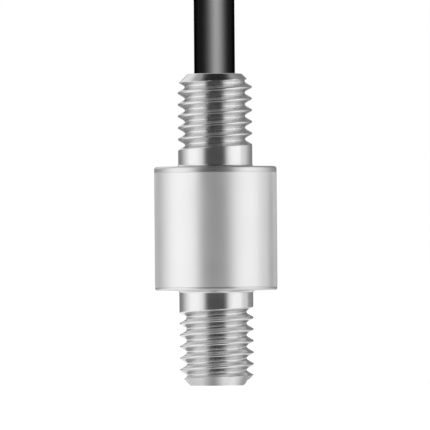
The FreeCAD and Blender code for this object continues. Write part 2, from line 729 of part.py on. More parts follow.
def route_tube(points, diameter):
    """A round tube along straight runs joined by tangent arcs, each as large as its runs allow."""
    places = [FreeCAD.Vector(*point) for point in points]
    edges = []
    here = places[0]
    for before, corner, after in zip(places, places[1:], places[2:]):
        inward = (corner - before).normalize()
        outward = (after - corner).normalize()
        turn = inward.getAngle(outward)
        tangent = ARC_SHARE * min(before.distanceToPoint(corner), corner.distanceToPoint(after))
        radius = tangent / math.tan(turn / 2)
        inside = (outward - inward).normalize()
        middle = corner + inside * radius * (1 / math.cos(turn / 2) - 1)
        arc_start = corner - inward * tangent
        arc_end = corner + outward * tangent
        edges.append(Part.LineSegment(here, arc_start).toShape())
        edges.append(Part.Arc(arc_start, middle, arc_end).toShape())
        here = arc_end
        print(f"bend at {tuple(corner)}: radius {radius:.2f}")
    edges.append(Part.LineSegment(here, places[-1]).toShape())
    path = Part.Wire(edges)
    section = Part.Circle(places[0], places[1] - places[0], diameter / 2).toShape()
    tube = path.makePipeShell([Part.Wire([section])], True, False)
    wanted = math.pi * diameter**2 / 4 * path.Length
    print(f"tube length {path.Length:.2f}, volume {tube.Volume:.2f} of {wanted:.2f}")
    return tube


def cable_lead(hank):
    """The free cable from the stud's mouth to where it sinks into the top of the hank."""
    mouth = value(MOUTH)
    points = [(x, y, z + mouth) for x, y, z in LEAD_ROUTE]
    tube = route_tube(points, value("Sizes.cable_diameter"))
    lead = doc.addObject("Part::Feature", "cable_lead")
    lead.Shape = tube.cut(hank.Shape)
    return lead


def cable_tail(hank):
    """The last of the cable, inside the hank, from its near fold to the jacket's end."""
    tail = doc.addObject("Part::Cylinder", "TailRun")
    tail.setExpression("Radius", JACKET)
    tail.setExpression("Height", f"{JACKET_END} - {NEAR_FOLD} + {INNER_WALL}")
    tail.Placement = FreeCAD.Placement(FreeCAD.Vector(), FreeCAD.Rotation(FreeCAD.Vector(0, 1, 0), 90))
    tail.setExpression("Placement.Base.x", f"{NEAR_FOLD} - {INNER_WALL}")
    tail.setExpression("Placement.Base.y", TAIL_Y)
    tail.setExpression("Placement.Base.z", TAIL_Z)
    trimmed = doc.addObject("Part::Cut", "cable_tail")
    trimmed.Base = tail
    trimmed.Tool = hank
    return trimmed


def end_sleeve():
    """Shrink sleeve over the end of the jacket, drawn in towards the leads."""
    body = new_body("end_sleeve")
    profile = new_sketch(body, "XZ_Plane")
    spread = "Sizes.end_sleeve_reach * tan(Sizes.lead_splay)"
    mouth_bore = f"({BRAID} + {spread} + Sizes.end_sleeve_room / 2)"
    mouth_rim = f"({mouth_bore} + Sizes.end_sleeve_wall)"
    outline(
        profile,
        [
            (JACKET, "-Sizes.end_sleeve_overlap"),
            (END_SLEEVE, "-Sizes.end_sleeve_overlap"),
            (END_SLEEVE, "0"),
            (mouth_rim, "Sizes.end_sleeve_reach"),
            (mouth_bore, "Sizes.end_sleeve_reach"),
            (JACKET, "0"),
        ],
    )
    revolve(body, profile)
    lay_along_tail(body, FreeCAD.Vector(1, 0, 0), "0", "0", "0")
    return body


def lay_along_tail(body, direction, along, across, up):
    """Place a piece that was turned about its own Z at the end of the cable's jacket."""
    body.Placement = FreeCAD.Placement(
        FreeCAD.Vector(), FreeCAD.Rotation(FreeCAD.Vector(0, 0, 1), direction)
    )
    body.setExpression("Placement.Base.x", f"{JACKET_END} + {along}")
    body.setExpression("Placement.Base.y", f"{TAIL_Y} + {across}")
    body.setExpression("Placement.Base.z", f"{TAIL_Z} + {up}")


def flying_lead(label, across, up, radius, place):
    """One lead of the free end: insulation and a tinned tip, spreading away from the cable's axis."""
    body = new_body(label)
    profile = new_sketch(body, "XZ_Plane")
    tip = named("lead_tip_diameter / 2")
    end = named("lead_length + lead_tip_length")
    outline(
        profile,
        [
            ("0", "0"),
            (radius, "0"),
            (radius, named("lead_length")),
            (tip, named("lead_length")),
            (tip, end),
            ("0", end),
        ],
    )
    revolve(body, profile)
    splay = math.tan(math.radians(value("Sizes.lead_splay")))
    length = math.hypot(across, up)
    direction = FreeCAD.Vector(1, splay * across / length, splay * up / length)
    clear = f"{radius} * tan(Sizes.lead_splay)"
    lay_along_tail(body, direction, clear, f"{across} * {place}", f"{up} * {place}")
    return body


def pieces():
    """Every piece of the cell and its cable, in the order in which they go together."""
    made = [load_element()]
    made.append(turned_tube("outer_sleeve", SLEEVE_BORE, BODY, SLEEVE_FOOT, SLEEVE_HEAD))
    quarter = 360.0 / FACES
    made.append(strain_gauge("transverse_gauge_right", 0.0, False))
    made.append(strain_gauge("axial_gauge_back", quarter, True))
    made.append(strain_gauge("transverse_gauge_left", 2 * quarter, False))
    made.append(strain_gauge("axial_gauge_front", 3 * quarter, True))
    made.append(terminal_ring())
    made.append(bridge_wires())
    made.append(solder_joints())
    made.append(trim_resistor("zero_resistor", quarter / FACES))
    made.append(trim_resistor("span_resistor", quarter / FACES + 2 * quarter))
    for turn, colour in enumerate(("red", "black", "green", "white")):
        made.append(conductor(f"conductor_{colour}", DIAGONAL + quarter * turn))
    made.append(turned_tube("cable_braid_end", BRAID_BORE, BRAID, BORE_FLOOR, MOUTH))
    made.append(turned_tube("cable_jacket_end", BRAID, JACKET, BORE_FLOOR, MOUTH))
    potting_head = f"({MOUTH} - Sizes.potting_recess)"
    made.append(turned_tube("cable_potting", JACKET, BORE, BORE_FLOOR, potting_head))
    hank = cable_hank()
    made.append(hank)
    bundle_offset = f"(({INNER_WALL} + {OUTER_WALL}) / 2)"
    front = f"{HANK_MIDDLE_Y} - {bundle_offset}"
    back = f"{HANK_MIDDLE_Y} + {bundle_offset}"
    made.append(hank_tie("front_tie", hank, f"{FAR_FOLD} - Sizes.tie_inset", front))
    made.append(hank_tie("back_tie", hank, f"{NEAR_FOLD} + Sizes.tie_inset", back))
    made.append(cable_lead(hank))
    made.append(cable_tail(hank))
    made.append(end_sleeve())
    core = named("( conductor_diameter / 2 )")
    core_place = f"{CORE_OFFSET} / sqrt(2)"
    for colour, across, up in (("red", -1, 1), ("black", -1, -1), ("green", 1, -1), ("white", 1, 1)):
        made.append(flying_lead(f"lead_{colour}", across, up, core, core_place))
    shield_place = f"({BRAID} - Sizes.shield_diameter / 2)"
    made.append(flying_lead("lead_shield", 1, 0, named("( shield_diameter / 2 )"), shield_place))
    return made


made = pieces()
doc.recompute()

for item in doc.Objects:
    if "Invalid" in item.State or "Error" in item.State:
        raise RuntimeError(f"{item.Label} failed: {item.State}")
for piece in made:
    if piece.Shape.isNull() or not piece.Shape.isValid():
        raise RuntimeError(f"{piece.Label} has no valid shape")

os.makedirs("parts", exist_ok=True)
for piece in made:
    piece.Shape.exportStep(f"parts/{piece.Label}.step")
    print(f"{piece.Label}: {len(piece.Shape.Solids)} solid, {piece.Shape.Volume:.3f} mm3")
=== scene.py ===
import json
import math

import bmesh
import bpy
from mathutils import Matrix, Vector


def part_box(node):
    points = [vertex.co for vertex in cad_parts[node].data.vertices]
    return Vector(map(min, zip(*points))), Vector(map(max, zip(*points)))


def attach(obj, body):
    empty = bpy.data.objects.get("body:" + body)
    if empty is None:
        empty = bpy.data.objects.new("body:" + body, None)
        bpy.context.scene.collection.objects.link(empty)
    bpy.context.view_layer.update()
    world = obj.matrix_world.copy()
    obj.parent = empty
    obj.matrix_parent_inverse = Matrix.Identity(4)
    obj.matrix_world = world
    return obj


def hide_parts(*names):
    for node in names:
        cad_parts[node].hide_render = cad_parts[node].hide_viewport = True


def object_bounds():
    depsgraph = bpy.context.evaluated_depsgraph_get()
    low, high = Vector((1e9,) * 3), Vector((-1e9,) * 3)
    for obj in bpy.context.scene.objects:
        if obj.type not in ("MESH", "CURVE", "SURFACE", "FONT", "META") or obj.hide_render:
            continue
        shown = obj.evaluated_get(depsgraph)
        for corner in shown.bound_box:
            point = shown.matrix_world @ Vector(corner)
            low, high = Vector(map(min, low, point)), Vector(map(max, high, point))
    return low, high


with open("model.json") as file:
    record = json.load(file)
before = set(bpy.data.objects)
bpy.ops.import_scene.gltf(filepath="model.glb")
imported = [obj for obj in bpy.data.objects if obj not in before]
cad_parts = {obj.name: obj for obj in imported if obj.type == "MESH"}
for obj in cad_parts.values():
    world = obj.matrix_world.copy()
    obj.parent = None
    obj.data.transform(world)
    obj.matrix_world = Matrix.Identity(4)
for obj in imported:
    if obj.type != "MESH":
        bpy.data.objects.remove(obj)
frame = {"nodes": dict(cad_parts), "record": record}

# The looks of a miniature inline load cell: threaded stainless studs, a satin sleeve between their
# flanges and a black cable that leaves along the axis. Metres, in the frame's own axes.

MM = 0.001
cad_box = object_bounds()
mounts = {mount["name"]: mount for mount in frame["record"]["mounts"]}

# Heights and radii that the frame gives
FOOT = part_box("load_element")[0].z
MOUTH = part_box("load_element")[1].z
BODY_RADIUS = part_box("load_element")[1].x
STUD_RADIUS = mounts["lower_stud"]["dims"]["r_mm"] * MM
LOWER_SHOULDER = mounts["lower_shoulder"]["pos_m"][2]
UPPER_SHOULDER = mounts["upper_shoulder"]["pos_m"][2]
SLEEVE_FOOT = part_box("outer_sleeve")[0].z
SLEEVE_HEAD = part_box("outer_sleeve")[1].z

# Turned shapes of the studs and the body, as in the solids
STUD_CHAMFER = 1.1 * MM
END_ROUND = 0.35 * MM
ROOT_FILLET = 0.25 * MM
EDGE_RADIUS = 0.3 * MM
SEAM_BEVEL = 0.025 * MM
ARC_STEPS = 8

# M8 x 1.25 thread; each seam of its mesh lies behind
PITCH = 1.25 * MM
THREAD_DEPTH = 0.75 * MM
CREST_FLAT = 0.19 * MM
CREST_BLEND = 0.13 * MM
ROOT_BLEND = 0.12 * MM
FLANK_SLOPE = 1 / math.tan(math.radians(30))
UPPER_THREAD_START = 1.36 * MM
LOWER_THREAD_START = 1.35 * MM
UPPER_SEAM = math.pi / 2
LOWER_SEAM = -math.pi / 2
RUN_OUT_TURNS = 0.2
PLAIN_TURNS = 2
ROWS_PER_TURN = 26
SEGMENTS = 180

# Meshing
WELD = 1e-7
NEAR = 5e-6
HARD_EDGE = math.radians(40)

# The cable: its route from the stud's mouth, in millimetres, and the tied hank that the rest is put away in
CABLE_DIAMETER = 4.4 * MM
CABLE_ROUNDNESS = 15
CABLE_STEPS = 20
LEAD_ROUTE = (
    (0.0, 0.0, 0.0),
    (0.0, 0.0, 2.4),
    (0.0, 0.0, 20.5),
    (14.85, 0.0, 35.35),
    (35.85, 0.0, 35.35),
    (50.7, 0.0, 20.5),
    (50.7, 0.0, -2.9),
    (64.5, 1.2, -17.4),
)
HANK_LANES = 2
HANK_LAYERS = 4

# Each half turn of the hank follows an octagon's corners, in its own radius
OCTAGON = math.tan(math.radians(22.5))
HALF_TURN = (
    (-OCTAGON, -1),
    (OCTAGON, -1),
    (1, -OCTAGON),
    (1, OCTAGON),
    (OCTAGON, 1),
    (-OCTAGON, 1),
)

# Finishes
GRAIN_DETAIL = 3.0
GRAIN_RANGE = (0.3, 0.7)
MARK_SCALE = 9000
MARK_SPREAD = 0.01
MARK_DEPTH = 0.004 * MM
CLOUD_SCALE = 300
PEBBLE_SCALE = 6000
PEBBLE_DEPTH = 0.01 * MM
PLASTIC_GLOSS = 0.5
EVEN_BLEND = 0.5

# The world and the floor
WORLD_LIGHT = 0.75
FLOOR_SIZE = 8.0
FLOOR_Z = cad_box[0].z - 0.02 * MM
FLOOR_GREY = 0.8
FLOOR_ROUGHNESS = 0.9
FLOOR_LIFT = 0.6

# The lamps: softboxes for all, the rest on a circle round the load axis, in degrees from the camera's side
SOFTBOX_LIGHT = 0.25
SOFTBOX_SIZE = (0.3, 0.5)
SOFTBOX_PLACES = {
    "left_softbox": (-0.4, -0.12, 0.12),
    "right_softbox": (0.4, -0.16, 0.12),
}
LAMP_DISTANCE = 0.6

# Strips on the cable alone: five in front, each wider than the one before, and three from behind
STRIP_HEIGHT = 0.5
STRIP_LIGHT = 2.9
STRIP_AT = 22
STRIP_REACHES = (20, 32, 46, 62, 78)
STRIP_Z = 0.06
REAR_LIGHT = 8
REAR_ANGLES = (115, 180, 245)
REAR_REACH = 12
REAR_Z = 0.25
REAR_AIM_X = 0.05

# Lamps on the sleeve alone, a pair in front and a pair behind
EDGE_MIDDLE = -2.5
EDGE_SIZE = (0.21, 0.5)
EDGE_AT = 33
EDGE_LIGHT = 0.6
RIM_AT = 150
RIM_LIGHT = (0.3, 0.5)

# Dark cloth round the set: shades from 0, open, to 1, in degrees from the camera's side and above the floor.
# A pair of angles is a soft edge.
FLAG_GREY = 0.09
TOP_GREY = 0.02
FLAG_COLUMNS = 180
HOOD_RADIUS = 1.0
HOOD_ROWS = 45
FRONT_AT = -0.7
FRONT_EDGE = (25.5, 45.5)
BACK_LEFT = (88, 140)
BACK_RIGHT = (82, 150)
BACK_SHADE = 0.82
BACK_OPEN = (168, 179)
BACK_HEIGHT = (20, 45)
TOP_LEFT = (54, 74)
TOP_RIGHT = (38, 72)
TOP_DARK = (35, 70)
WINDOW_AT = (-150, 30)
WINDOW_EDGE = (11, 29)
WINDOW_LENGTH = 4

# The cloth on the floor, seen only in reflections: dark from its edge outwards, a paler patch inside that,
# and stops of painted shade round the foot
MAT_ROWS = 40
MAT_LIFT = 0.01 * MM
MAT_HOLE = STUD_RADIUS / 2
MAT_EDGE = (34 * MM, 52 * MM)
PATCH_SHADE = 0.62
PATCH_SIDES = (0.08, 0.14)
PATCH_FRONT = (5, 50)
PATCH_EDGE = (6 * MM, 14 * MM)
# Painted shade right at the foot, as the metal reflects the floor there: the floor's shadow round the foot,
# in degrees from the camera's side
PAINTED_FOOT_SHADE_STOPS = (
    (-180, 0.08),
    (-75, 0.3),
    (-35, 0.2),
    (-8, 0.66),
    (18, 0.06),
    (34, 0.0),
    (72, 0.6),
    (180, 0.14),
)

# A long lens far off, a little below the middle of the body and aimed a little above it
CAMERA_DISTANCE = 1200 * MM
VIEW_WIDTH = 46.34 * MM
CAMERA_X = -0.074 * MM
CAMERA_Z = 14 * MM
AIM_Z = 18.365 * MM
CAMERA_ROLL = math.radians(-0.45)
CLIP_START = 0.01
CLIP_END = 100


def link(name, data):
    """A new object in the scene."""
    piece = bpy.data.objects.new(name, data)
    bpy.context.scene.collection.objects.link(piece)
    return piece


def ramp(x, low, high):
    """0 below low, 1 above high, and smooth between."""
    share = min(1, max(0, (x - low) / (high - low)))
    return share * share * (3 - 2 * share)


def blend(first, second, share):
    """The first value where the share is 0, the second where it is 1."""
    return first + (second - first) * share


def make_camera():
    """The photo's view: straight from the front."""
    data = bpy.data.cameras.new("camera")
    data.lens = data.sensor_width * CAMERA_DISTANCE / VIEW_WIDTH
    data.clip_start = CLIP_START
    data.clip_end = CLIP_END
    camera = link("camera", data)
    camera.location = (CAMERA_X, -CAMERA_DISTANCE, CAMERA_Z)
    tilt = math.pi / 2 + math.atan2(AIM_Z - CAMERA_Z, CAMERA_DISTANCE)
    turned = Matrix.Rotation(tilt, 3, "X") @ Matrix.Rotation(CAMERA_ROLL, 3, "Z")
    camera.rotation_euler = turned.to_euler()
    bpy.context.scene.camera = camera


def hank_turns():
    """The control points of the put-away turns: lanes side by side, layer under layer."""
    low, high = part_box("cable_hank")
    outer = (high.y - low.y) / 2 - CABLE_DIAMETER / 2
    middle_y = (low.y + high.y) / 2
    near_x = low.x + outer + CABLE_DIAMETER / 2
    far_x = high.x - outer - CABLE_DIAMETER / 2
    points = []
    for layer in range(HANK_LAYERS):
        z = high.z - (layer + 0.5) * CABLE_DIAMETER
        lanes = range(HANK_LANES) if layer % 2 else reversed(range(HANK_LANES))
        for lane in lanes:
            radius = outer - lane * CABLE_DIAMETER
            for centre, side in ((far_x, radius), (near_x, -radius)):
                for along, across in HALF_TURN:
                    points.append((centre + along * side, middle_y + across * side, z))
    return points[1:]


def cable_points():
    """The control points of the whole cable, from the stud's mouth to the end sleeve."""
    lead = [(x * MM, y * MM, z * MM + MOUTH) for x, y, z in LEAD_ROUTE]
    low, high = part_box("cable_tail")
    tail_y = (low.y + high.y) / 2
    tail_z = (low.z + high.z) / 2
    sleeve_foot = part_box("end_sleeve")[0].x
    return lead + hank_turns() + [(sleeve_foot, tail_y, tail_z), (high.x, tail_y, tail_z)]


def make_cable():
    """The cable at its real length, as one smooth curve."""
    data = bpy.data.curves.new("signal_cable", "CURVE")
    data.dimensions = "3D"
    data.bevel_depth = 1.0
    data.bevel_resolution = CABLE_ROUNDNESS
    data.use_fill_caps = True
    data.resolution_u = CABLE_STEPS
    spline = data.splines.new("NURBS")
    points = cable_points()
    spline.points.add(len(points) - 1)
    for point, place in zip(spline.points, points):
        point.co = (*place, 1)
        point.radius = CABLE_DIAMETER / 2
    spline.order_u = 3
    spline.use_endpoint_u = True
    cable = link("signal_cable", data)
    # The hank beside the cell stays out of the metal's reflections
    cable.visible_glossy = False
    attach(cable, "root")
    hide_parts("cable_lead", "cable_hank", "cable_tail")
    return cable


def turned_vert(bm, place, radius, angle, height):
    """A vertex of a turned shape, by its radius, its angle round the axis and its height."""
    return bm.verts.new(place @ Vector((radius * math.cos(angle), radius * math.sin(angle), height)))


def bearing(vert):
    """Where a vertex stands round the load axis."""
    return math.atan2(vert.co.y, vert.co.x)


def rounded_ramp(x, rounding):
    """0 below 0 and x above it, with the corner rounded over that distance to each side."""
    if abs(x) < rounding:
        return (x + rounding) ** 2 / (4 * rounding)
    return max(x, 0)


def thread_drop(from_crest):
    """How far the thread lies below its crest, at a distance along the axis from the nearest crest."""
    drop = rounded_ramp((from_crest - CREST_FLAT / 2) * FLANK_SLOPE, CREST_BLEND)
    return THREAD_DEPTH - rounded_ramp(THREAD_DEPTH - drop, ROOT_BLEND)


def thread_radius(row, turn_share, height, length):
    """The threaded stud's radius on one row of the helix, with its run-out and its end chamfer."""
    turn, step = divmod(row, ROWS_PER_TURN)
    phase = step / ROWS_PER_TURN
    drop = 0
    if turn >= 0:
        drop = thread_drop(min(phase, 1 - phase) * PITCH) * ramp(turn + turn_share, 0, RUN_OUT_TURNS)
    chamfered = STUD_RADIUS - STUD_CHAMFER + length - height
    return min(STUD_RADIUS - drop, chamfered)


def add_thread(bm, place, start, length, seam):
    """Rows along the helix from the stud's plain root to its chamfered end, welded where they are clamped."""
    first = -PLAIN_TURNS * ROWS_PER_TURN
    last = math.ceil((length - start) / PITCH + 1) * ROWS_PER_TURN
    chamfer_end = length - END_ROUND * (1 - math.sqrt(0.5))
    rows = []
    for row in range(first, last + 1):
        verts = []
        for segment in range(SEGMENTS):
            share = segment / SEGMENTS
            height = start + PITCH * (row / ROWS_PER_TURN + share)
            height = min(max(height, ROOT_FILLET), chamfer_end)
            radius = thread_radius(row, share, height, length)
            verts.append(turned_vert(bm, place, radius, seam + 2 * math.pi * share, height))
        rows.append(verts)
    for index in range(len(rows) - 1 - ROWS_PER_TURN):
        here = rows[index] + rows[index + ROWS_PER_TURN][:1]
        above = rows[index + 1] + rows[index + 1 + ROWS_PER_TURN][:1]
        for segment in range(SEGMENTS):
            bm.faces.new((here[segment], here[segment + 1], above[segment + 1], above[segment]))


def arc(centre_radius, centre_height, radius, start, end):
    """Points of a turned edge's rounding, as pairs of radius and height."""
    points = []
    for step in range(ARC_STEPS + 1):
        angle = math.radians(start + (end - start) * step / ARC_STEPS)
        points.append((centre_radius + radius * math.cos(angle), centre_height + radius * math.sin(angle)))
    return points


def add_turned(bm, place, profile, seam=0.0):
    """Rings of a turned profile, given as pairs of radius and height; returns the last ring."""
    angles = [seam + 2 * math.pi * segment / SEGMENTS for segment in range(SEGMENTS)]
    rings = []
    for radius, height in profile:
        rings.append([turned_vert(bm, place, radius, angle, height) for angle in angles])
    for ring, above in zip(rings, rings[1:]):
        for segment in range(SEGMENTS):
            after = (segment + 1) % SEGMENTS
            bm.faces.new((ring[segment], ring[after], above[after], above[segment]))
    return rings[-1]


def zip_rings(bm, first, second):
    """Close the strip between two rings about the load axis, whatever their counts."""
    rings = [sorted(ring, key=bearing) for ring in (first, second)]
    at = [0, 0]

    def next_bearing(side):
        whole, index = divmod(at[side] + 1, len(rings[side]))
        return bearing(rings[side][index]) + 2 * math.pi * whole

    while any(at[side] < len(rings[side]) for side in (0, 1)):
        side = 0 if next_bearing(0) <= next_bearing(1) else 1
        if at[side] == len(rings[side]):
            side = 1 - side
        corners = [rings[i][at[i] % len(rings[i])] for i in (0, 1)]
        at[side] += 1
        corners.append(rings[side][at[side] % len(rings[side])])
        bm.faces.new(corners)


def finish_mesh(bm, name):
    """Weld, turn the faces outwards and mark the hard edges."""
    bmesh.ops.remove_doubles(bm, verts=bm.verts, dist=WELD)
    bmesh.ops.dissolve_degenerate(bm, edges=bm.edges, dist=WELD)
    bmesh.ops.recalc_face_normals(bm, faces=bm.faces)
    for face in bm.faces:
        face.smooth = True
    for edge in bm.edges:
        edge.smooth = edge.calc_face_angle(0) < HARD_EDGE
    mesh = bpy.data.meshes.new(name)
    bm.to_mesh(mesh)
    bm.free()
    return link(name, mesh)


def ring_at(bm, radius, height):
    """The open edge of the inner surface at a radius and height."""
    return [
        vert
        for vert in bm.verts
        if vert.is_boundary
        and abs(vert.co.z - height) < NEAR
        and abs(math.hypot(vert.co.x, vert.co.y) - radius) < NEAR
    ]


def element_inside(bore):
    """The element's inner surface, taken from its solid: all but the studs and the flanges' outsides."""
    bm = bmesh.new()
    bm.from_mesh(frame["nodes"]["load_element"].data)
    bmesh.ops.remove_doubles(bm, verts=bm.verts, dist=WELD)
    outside = []
    for face in bm.faces:
        centre = face.calc_center_median()
        low = centre.z < SLEEVE_FOOT + NEAR
        high = centre.z > SLEEVE_HEAD - NEAR and math.hypot(centre.x, centre.y) > bore + NEAR
        if low or high:
            outside.append(face)
    bmesh.ops.delete(bm, geom=outside, context="FACES")
    return bm


def add_stud(bm, place, length, thread_start, seam, rim, inner):
    """A threaded stud and its flange, closed to the inner surface; returns the ring at the stud's end."""
    add_thread(bm, place, thread_start, length, seam)
    profile = arc(STUD_RADIUS + ROOT_FILLET, ROOT_FILLET, ROOT_FILLET, 180, 270)
    profile += arc(BODY_RADIUS - EDGE_RADIUS, -EDGE_RADIUS, EDGE_RADIUS, 90, 0)
    profile += [(BODY_RADIUS, SEAM_BEVEL - rim), (BODY_RADIUS - SEAM_BEVEL, -rim)]
    zip_rings(bm, add_turned(bm, place, profile, seam), inner)
    end_radius = STUD_RADIUS - STUD_CHAMFER - END_ROUND * (math.sqrt(2) - 1)
    return add_turned(bm, place, arc(end_radius, length - END_ROUND, END_ROUND, 45, 90), seam)


def make_element():
    """The one-piece element: its outside with true threads, its inside as in the solid."""
    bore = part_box("cable_potting")[1].x
    bm = element_inside(bore)
    spigot = max(math.hypot(vert.co.x, vert.co.y) for vert in bm.verts)
    inner_foot = ring_at(bm, spigot, SLEEVE_FOOT)
    inner_head = ring_at(bm, spigot, SLEEVE_HEAD)
    mouth = ring_at(bm, bore, MOUTH)

    upright = Matrix.Translation((0, 0, UPPER_SHOULDER))
    length = MOUTH - UPPER_SHOULDER
    rim = UPPER_SHOULDER - SLEEVE_HEAD
    upper_end = add_stud(bm, upright, length, UPPER_THREAD_START, UPPER_SEAM, rim, inner_head)
    zip_rings(bm, upper_end, mouth)

    hanging = Matrix.Translation((0, 0, LOWER_SHOULDER)) @ Matrix.Rotation(math.pi, 4, "X")
    length = LOWER_SHOULDER - FOOT
    rim = SLEEVE_FOOT - LOWER_SHOULDER
    lower_end = add_stud(bm, hanging, length, LOWER_THREAD_START, LOWER_SEAM, rim, inner_foot)
    bm.faces.new(lower_end)

    element = finish_mesh(bm, "threaded_element")
    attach(element, "root")
    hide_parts("load_element")
    return element


def make_sleeve():
    """The welded sleeve, with its edges just broken so that the seams at the flanges show."""
    bore = min(math.hypot(vert.co.x, vert.co.y) for vert in frame["nodes"]["outer_sleeve"].data.vertices)
    bm = bmesh.new()
    profile = [
        (bore, SLEEVE_FOOT),
        (BODY_RADIUS - SEAM_BEVEL, SLEEVE_FOOT),
        (BODY_RADIUS, SLEEVE_FOOT + SEAM_BEVEL),
        (BODY_RADIUS, SLEEVE_HEAD - SEAM_BEVEL),
        (BODY_RADIUS - SEAM_BEVEL, SLEEVE_HEAD),
        (bore, SLEEVE_HEAD),
        (bore, SLEEVE_FOOT),
    ]
    add_turned(bm, Matrix.Identity(4), profile)
    sleeve = finish_mesh(bm, "welded_sleeve")
    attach(sleeve, "root")
    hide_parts("outer_sleeve")
    return sleeve


def new_material(name):
    """A material with its node tree and its main shader."""
    material = bpy.data.materials.new(name)
    material.use_nodes = True
    tree = material.node_tree
    return material, tree, tree.nodes["Principled BSDF"]


def set_up(node, **values):
    """Set a node's input values by their names, with _ for a space."""
    for socket, value in values.items():
        node.inputs[socket.replace("_", " ")].default_value = value
    return node


def grey(level):
    """A neutral colour."""
    return (level, level, level, 1)


def maths(tree, operation, first, second):
    """The result of a Math node on two values, each a number or a node's output."""
    node = tree.nodes.new("ShaderNodeMath")
    node.operation = operation
    for socket, value in zip(node.inputs, (first, second)):
        if isinstance(value, bpy.types.NodeSocket):
            tree.links.new(value, socket)
        else:
            socket.default_value = value
    return node.outputs["Value"]


def grain(tree, scale, stretch=(1, 1, 1)):
    """Noise over the piece's own coordinates, stretched along its axes; gives its factor socket."""
    place = tree.nodes.new("ShaderNodeTexCoord")
    mapping = set_up(tree.nodes.new("ShaderNodeMapping"), Scale=stretch)
    noise = set_up(tree.nodes.new("ShaderNodeTexNoise"), Scale=scale, Detail=GRAIN_DETAIL)
    tree.links.new(place.outputs["Object"], mapping.inputs["Vector"])
    tree.links.new(mapping.outputs["Vector"], noise.inputs["Vector"])
    return noise.outputs["Fac"]


def spread(tree, factor, low, high):
    """A noise factor mapped to a range of values."""
    ranged = tree.nodes.new("ShaderNodeMapRange")
    set_up(ranged, From_Min=GRAIN_RANGE[0], From_Max=GRAIN_RANGE[1], To_Min=low, To_Max=high)
    tree.links.new(factor, ranged.inputs["Value"])
    return ranged.outputs["Result"]


def bump(tree, factor, strength, distance):
    """A normal that follows a noise factor."""
    node = set_up(tree.nodes.new("ShaderNodeBump"), Strength=strength, Distance=distance)
    tree.links.new(factor, node.inputs["Height"])
    return node.outputs["Normal"]


def metal(name, colour, roughness, marks, metallic=1.0):
    """Turned or drawn metal: fine rings round the axis, and a finish that varies within its roughness."""
    material, tree, main = new_material(name)
    set_up(main, Base_Color=colour, Metallic=metallic)
    rings = grain(tree, MARK_SCALE, stretch=(MARK_SPREAD, MARK_SPREAD, 1))
    clouds = grain(tree, CLOUD_SCALE)
    tree.links.new(spread(tree, clouds, *roughness), main.inputs["Roughness"])
    tree.links.new(bump(tree, rings, marks, MARK_DEPTH), main.inputs["Normal"])
    return material


def fade_gloss(tree, main, power):
    """Gloss that is full where the surface is seen face-on and fades towards its outline."""
    angle = set_up(tree.nodes.new("ShaderNodeLayerWeight"), Blend=EVEN_BLEND)
    face_on = maths(tree, "SUBTRACT", 1.0, angle.outputs["Facing"])
    faded = maths(tree, "POWER", face_on, power)
    gloss = maths(tree, "MULTIPLY", faded, PLASTIC_GLOSS)
    tree.links.new(gloss, main.inputs["Specular IOR Level"])


def plastic(name, colour, roughness, fleck=0.0, pebble=0.0, gloss_fade=0.0):
    """Moulded or drawn plastic, with a slight unevenness of colour and surface."""
    material, tree, main = new_material(name)
    set_up(main, Roughness=roughness, Specular_IOR_Level=PLASTIC_GLOSS)
    mix = tree.nodes.new("ShaderNodeMix")
    mix.data_type = "RGBA"
    mix.inputs["A"].default_value = colour
    mix.inputs["B"].default_value = (*(min(1, c * (1 + fleck)) for c in colour[:3]), 1)
    tree.links.new(grain(tree, CLOUD_SCALE), mix.inputs["Factor"])
    tree.links.new(mix.outputs["Result"], main.inputs["Base Color"])
    tree.links.new(bump(tree, grain(tree, PEBBLE_SCALE), pebble, PEBBLE_DEPTH), main.inputs["Normal"])
    if gloss_fade:
        fade_gloss(tree, main, gloss_fade)
    return material


def insulation(name, colour, fleck=0.15):
    """The smooth insulation of a core."""
    return plastic(name, colour, roughness=0.4, fleck=fleck, pebble=0.05)


def dress(piece, *materials):
    """The materials of a piece; a solid carried over from the frame keeps its mesh."""
    piece.data.materials.clear()
    for material in materials:
        piece.data.materials.append(material)


def dress_element(element):
    """Polished studs, and flanges with a duller turned finish."""
    polished = metal("polished_steel", grey(0.7), roughness=(0.18, 0.24), marks=0.1)
    turned = metal("turned_steel", grey(0.7), roughness=(0.32, 0.38), marks=0.1)
    dress(element, polished, turned)
    flange_slot = element.data.materials.find(turned.name)
    for face in element.data.polygons:
        if math.hypot(face.center.x, face.center.y) > STUD_RADIUS + ROOT_FILLET:
            face.material_index = flange_slot


